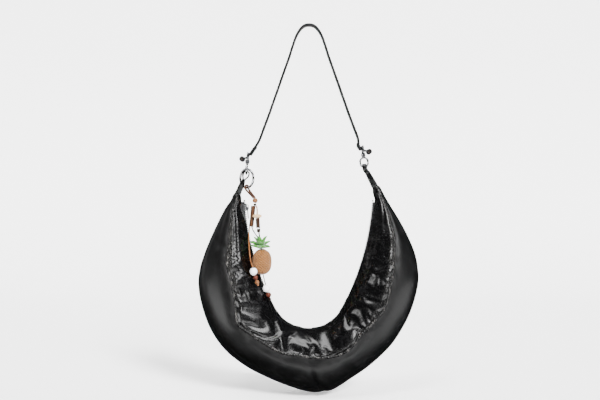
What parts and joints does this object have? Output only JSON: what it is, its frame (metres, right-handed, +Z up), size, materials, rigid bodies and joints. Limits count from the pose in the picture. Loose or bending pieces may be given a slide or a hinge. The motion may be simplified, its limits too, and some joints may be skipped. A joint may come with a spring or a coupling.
{
  "type": "half moon bag",
  "caption": "Curved half moon shoulder bag of glossy leather that hangs by a narrow strap on two swivel clasps, with an arched zip and a hanging charm",
  "frame": {"origin": "under the middle of the strap's top, where the bag hangs", "axes": "+X to the right seen from the front, +Y to the back, +Z up"},
  "size_m": [0.3331, 0.0988, 0.5575],
  "materials": {
    "black_leather": "glossy wrinkled leather",
    "base_leather": "glossy smooth leather",
    "strap_lining": "plain matt leather",
    "dowel_wood": "waxed wood",
    "silver_metal": "polished plating",
    "lining_cloth": "plain woven cloth",
    "zip_tape": "twill tape",
    "zip_metal": "dark satin plating",
    "brown_cord": "round leather lace",
    "tan_wood": "satin turned wood",
    "dark_knot": "knotted lace",
    "braid": "mixed braided yarns",
    "peach_cord": "thin twisted cord",
    "cream_bead": "smooth pale bead",
    "woven_brown": "wound thread",
    "black_cord": "waxed cord",
    "green_leaf": "soft satin leaves",
    "wound_cord": "criss-cross wound yarn",
    "white_bead": "glazed bead",
    "red_bead": "polished bead",
    "tan_lace": "thin lace"
  },
  "bodies": {
    "strap": {"strap": "black_leather", "strap_lining": "strap_lining", "strap_dowels": "dowel_wood", "left_eye": "silver_metal", "right_eye": "silver_metal"},
    "left_hook": {"left_hook": "silver_metal", "left_gate_pin": "silver_metal"},
    "left_gate": {"left_gate": "silver_metal"},
    "right_hook": {"right_hook": "silver_metal", "right_gate_pin": "silver_metal"},
    "right_gate": {"right_gate": "silver_metal"},
    "bag": {"front_panel": "black_leather", "back_panel": "black_leather", "base_panel": "base_leather", "front_welt": "black_leather", "back_welt": "black_leather", "lining": "lining_cloth", "front_zip_tape": "zip_tape", "back_zip_tape": "zip_tape", "front_zip_teeth": "zip_metal", "back_zip_teeth": "zip_metal", "zip_stops": "zip_metal", "left_tab": "black_leather", "right_tab": "black_leather", "left_neck_binding": "black_leather", "right_neck_binding": "black_leather"},
    "slider": {"zip_slider": "zip_metal"},
    "pull": {"zip_pull": "zip_metal"},
    "charm_ring": {"charm_ring": "silver_metal"},
    "charm": {"charm_loop_cord": "brown_cord", "top_bead": "tan_wood", "bead_knot": "dark_knot", "braid": "braid", "side_cord": "peach_cord", "toggle_bead": "cream_bead", "woven_tube": "woven_brown", "tube_knot": "dark_knot"},
    "fruit": {"crown_cords": "black_cord", "crown": "green_leaf", "fruit_body": "wound_cord", "lower_cords": "black_cord", "lower_white_bead": "white_bead", "lower_brown_bead": "red_bead", "lower_knot": "dark_knot"},
    "lace": {"lace": "tan_lace", "lace_white_bead": "white_bead", "lace_red_bead": "red_bead", "lace_tan_bead": "tan_wood"}
  },
  "joints": [
    {"name": "bag_swing", "type": "hinge", "parent": "strap", "child": "bag", "pos_m": [-0.09472, 0, -0.21885], "axis": [0.9997, 0, 0.0254], "range_deg": [-45, 45]},
    {"name": "left_hook_swivel", "type": "hinge", "parent": "strap", "child": "left_hook", "pos_m": [-0.0936, 0, -0.2061], "axis": [0.0872, 0, 0.9962], "range_deg": [-8, 8]},
    {"name": "left_gate_hinge", "type": "hinge", "parent": "left_hook", "child": "left_gate", "pos_m": [-0.09447, -0.0058, -0.21606], "axis": [0.9962, 0, -0.0872], "range_deg": [0, 25], "stiffness_Nm_per_rad": 0.02, "springref_deg": -11.46},
    {"name": "right_hook_swivel", "type": "hinge", "parent": "strap", "child": "right_hook", "pos_m": [0.0824, 0, -0.1958], "axis": [-0.1045, 0, 0.9945], "range_deg": [-8, 8]},
    {"name": "right_gate_hinge", "type": "hinge", "parent": "right_hook", "child": "right_gate", "pos_m": [0.08921, 0, -0.20514], "axis": [0, 1, 0], "range_deg": [0, 25], "stiffness_Nm_per_rad": 0.02, "springref_deg": -11.46},
    {"name": "zip_slider_run", "type": "hinge", "parent": "bag", "child": "slider", "pos_m": [0.30107, 0, -0.2418], "axis": [0, -1, 0], "range_deg": [0, 22]},
    {"name": "zip_pull_swing", "type": "hinge", "parent": "slider", "child": "pull", "pos_m": [-0.09359, 0, -0.27494], "axis": [0, -1, 0], "range_deg": [0, 150]},
    {"name": "charm_ring_swing", "type": "hinge", "parent": "bag", "child": "charm_ring", "pos_m": [-0.09459, 0, -0.21741], "axis": [0.7547, -0.6561, 0], "range_deg": [0, 25]},
    {"name": "charm_swing", "type": "hinge", "parent": "charm_ring", "child": "charm", "pos_m": [-0.09459, 0, -0.24541], "axis": [-1, 0, 0], "range_deg": [0, 30]},
    {"name": "fruit_swing", "type": "hinge", "parent": "charm", "child": "fruit", "pos_m": [-0.0758, -0.0147, -0.3096], "axis": [0, -1, 0], "range_deg": [0, 12]},
    {"name": "lace_swing", "type": "hinge", "parent": "charm", "child": "lace", "pos_m": [-0.0892, -0.0114, -0.304], "axis": [-1, 0, 0], "range_deg": [0, 25]}
  ]
}
